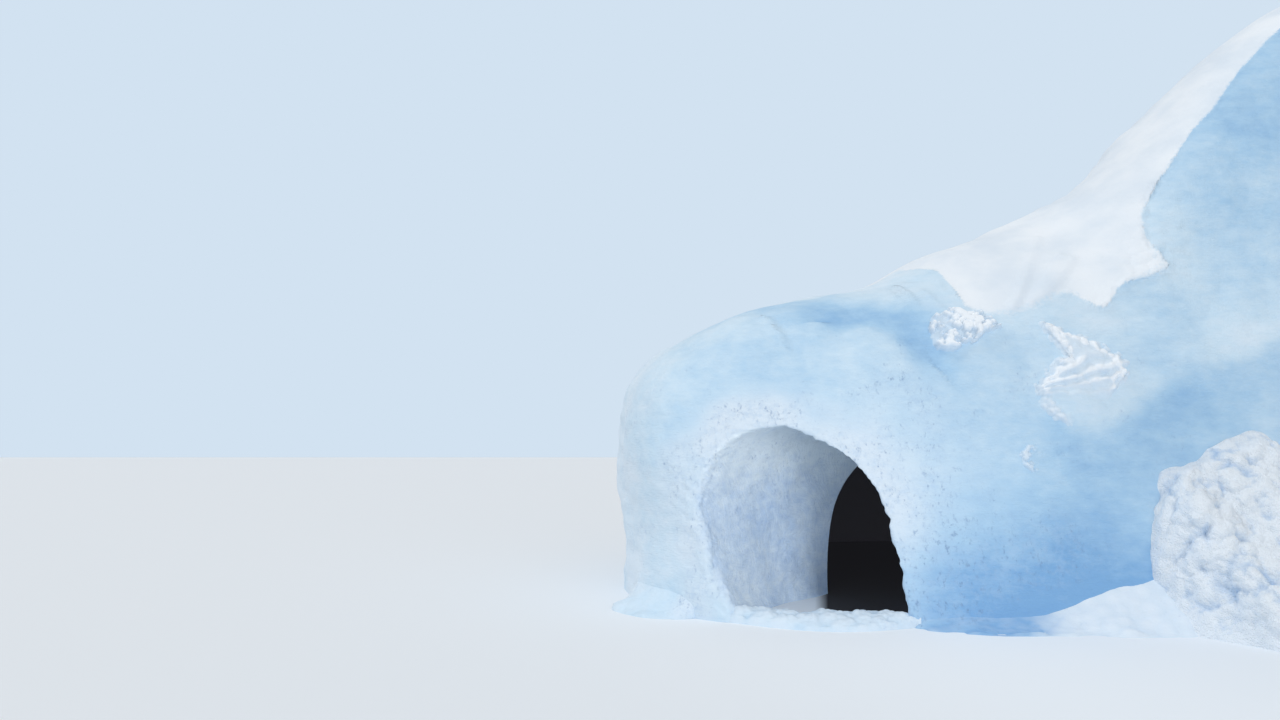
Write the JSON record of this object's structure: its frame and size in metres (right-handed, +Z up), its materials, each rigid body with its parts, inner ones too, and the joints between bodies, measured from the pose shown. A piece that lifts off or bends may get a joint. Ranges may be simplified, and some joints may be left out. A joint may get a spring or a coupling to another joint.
{
  "type": "snow igloo",
  "caption": "Large hollow snow igloo with a cut front face, a round carved entrance passage, a wind-packed drift rising to a peak and shovelled snow against its foot.",
  "frame": {"origin": "middle of the foot of the whole igloo, at ground level", "axes": "+Z up; -Y towards the cut front face with the entrance; +X to the right as seen by someone who faces that face, along the longest extent"},
  "size_m": [12.9975, 9.6208, 6.6937],
  "materials": {
    "cut_snow": "compacted snow, cut with a saw and blade, in blue shade",
    "carved_snow": "carved and glazed dense snow of the entrance passage",
    "drift_snow": "smooth wind-packed snow",
    "loose_snow": "lumpy shovelled snow"
  },
  "bodies": {
    "root": {"left_jamb": "carved_snow", "left_haunch": "carved_snow", "arch_crown": "carved_snow", "right_haunch": "carved_snow", "right_jamb": "carved_snow", "front_wall_left": "cut_snow", "front_wall_middle": "cut_snow", "front_wall_tall": "cut_snow", "front_wall_right": "cut_snow", "right_wall_front": "cut_snow", "right_wall_back": "cut_snow", "back_wall_right": "cut_snow", "back_wall_middle": "cut_snow", "back_wall_left": "cut_snow", "left_wall_back": "cut_snow", "left_wall_front": "cut_snow", "entrance_roof": "drift_snow", "front_drift": "drift_snow", "peak_face_drift": "drift_snow", "peak_drift": "drift_snow", "back_drift_right": "drift_snow", "back_drift_left": "drift_snow", "left_drift": "drift_snow", "heap_left": "loose_snow", "heap_middle": "loose_snow", "heap_right": "loose_snow", "crown": "drift_snow", "foot_bank_left": "loose_snow", "foot_bank_right": "loose_snow", "foot_bank_middle": "loose_snow", "door_sill": "loose_snow", "broken_plate": "drift_snow", "rough_patch": "drift_snow", "small_patch": "drift_snow"}
  },
  "joints": []
}
